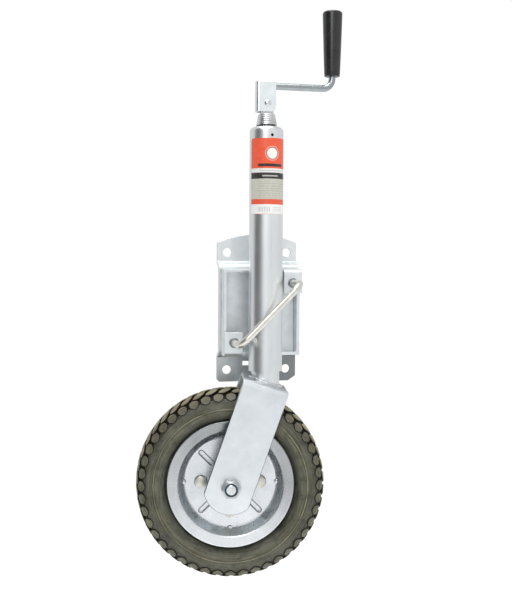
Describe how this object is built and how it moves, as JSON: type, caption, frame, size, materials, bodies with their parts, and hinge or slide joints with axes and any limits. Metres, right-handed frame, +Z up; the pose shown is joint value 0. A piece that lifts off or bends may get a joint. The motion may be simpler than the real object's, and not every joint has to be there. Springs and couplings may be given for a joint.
{
  "type": "trailer tongue jack",
  "caption": "Swing-up trailer jack: bolt-on pivot bracket, screw tube with folding crank, locking rod, castor fork and pneumatic wheel.",
  "frame": {"origin": "swing pivot axis at the back face of the mounting plate, which is the centre of the four frame bolt holes", "axes": "+Z up along the jack tube, +Y towards the trailer frame, -Y towards the user"},
  "size_m": [0.2933, 0.1209, 0.807],
  "materials": {
    "zinc_sheet": "zinc plated sheet, satin",
    "zinc_tube": "zinc plated tube, semi-gloss",
    "yellow_zinc": "warm passivated zinc",
    "bright_steel": "bright zinc fasteners",
    "weld_metal": "plated weld bead",
    "bearing_steel": "turned steel",
    "bronze": "oiled bronze",
    "black_plastic": "moulded black plastic",
    "tyre_rubber": "dusty moulded rubber",
    "black_rubber": "soft black rubber",
    "blue_nylon": "nylon locking ring",
    "label_print": "glossy printed film"
  },
  "bodies": {
    "root": {"mounting_plate": "zinc_sheet", "pivot_washer": "black_plastic"},
    "jack": {"swivel_tray": "zinc_sheet", "lock_tab_upper": "zinc_sheet", "lock_tab_lower": "zinc_sheet", "pivot_bolt": "bright_steel", "pivot_nut_washer": "bright_steel", "pivot_nut": "bright_steel", "outer_tube": "zinc_tube", "tube_welds": "weld_metal", "tube_label": "label_print", "top_bush": "black_plastic", "upper_race": "bearing_steel", "lower_bush": "black_plastic"},
    "lock": {"lock_rod": "yellow_zinc", "lock_pins": "bright_steel", "lock_collars": "bright_steel", "lock_springs": "bright_steel"},
    "screw": {"jack_screw": "bright_steel", "lower_race": "bearing_steel", "bearing_cage": "bearing_steel", "handle_spring": "bright_steel", "clevis_rivet": "bright_steel"},
    "crank": {"crank_clevis": "zinc_sheet", "crank_arm": "zinc_tube", "grip_clip": "bright_steel"},
    "grip": {"grip": "black_plastic", "grip_plug": "black_plastic"},
    "lift": {"jack_nut": "bronze", "swivel_washer": "black_plastic", "nut_retainer": "bearing_steel"},
    "castor": {"inner_tube": "zinc_tube", "swivel_plug": "bearing_steel", "fork": "zinc_sheet", "fork_weld": "weld_metal", "axle_bolt": "bright_steel", "axle_nut": "bright_steel", "axle_nut_ring": "blue_nylon", "axle_washers": "bright_steel", "axle_spacers": "bright_steel", "bearing_inner_rings": "bearing_steel", "inner_sleeve": "bearing_steel"},
    "wheel": {"hub": "bearing_steel", "hub_disc": "bearing_steel", "bearing_outer_rings": "bearing_steel", "bearing_balls": "bearing_steel", "dust_covers": "black_plastic", "rim_front": "zinc_sheet", "rim_flange_front": "zinc_sheet", "rim_back": "zinc_sheet", "rim_flange_back": "zinc_sheet", "rim_bolts": "yellow_zinc", "rim_nuts": "yellow_zinc", "tyre": "tyre_rubber", "air_tube": "black_rubber", "valve_stem": "black_rubber", "valve_cap": "black_plastic"}
  },
  "joints": [
    {"name": "swing", "type": "hinge", "parent": "root", "child": "jack", "pos_m": [0, 0, 0], "axis": [0, 1, 0], "range_deg": [0, 90]},
    {"name": "lock_pull", "type": "slide", "parent": "jack", "child": "lock", "axis": [0, -1, 0], "range_m": [-0.007, 0.002], "deforming": ["lock_springs"]},
    {"name": "crank_spin", "type": "hinge", "parent": "jack", "child": "screw", "pos_m": [0, -0.065, 0.25], "axis": [0, 0, 1], "range_deg": [0, 18000]},
    {"name": "crank_fold", "type": "hinge", "parent": "screw", "child": "crank", "pos_m": [0, -0.065, 0.297], "axis": [0, 1, 0], "range_deg": [0, 80]},
    {"name": "grip_spin", "type": "hinge", "parent": "crank", "child": "grip", "pos_m": [0.096, -0.065, 0.38], "axis": [0, 0, 1], "continuous": true},
    {"name": "lift", "type": "slide", "parent": "jack", "child": "lift", "axis": [0, 0, -1], "range_m": [0, 0.20001]},
    {"name": "castor_swivel", "type": "hinge", "parent": "lift", "child": "castor", "pos_m": [0, -0.065, 0.2], "axis": [0, 0, 1], "continuous": true},
    {"name": "wheel_spin", "type": "hinge", "parent": "castor", "child": "wheel", "pos_m": [-0.04891, -0.05725, -0.2405], "axis": [0.1564, 0.9877, 0], "continuous": true}
  ],
  "couplings": [
    {"joint": "lift", "follows": "crank_spin", "m_per_rad": 0.00063662}
  ]
}
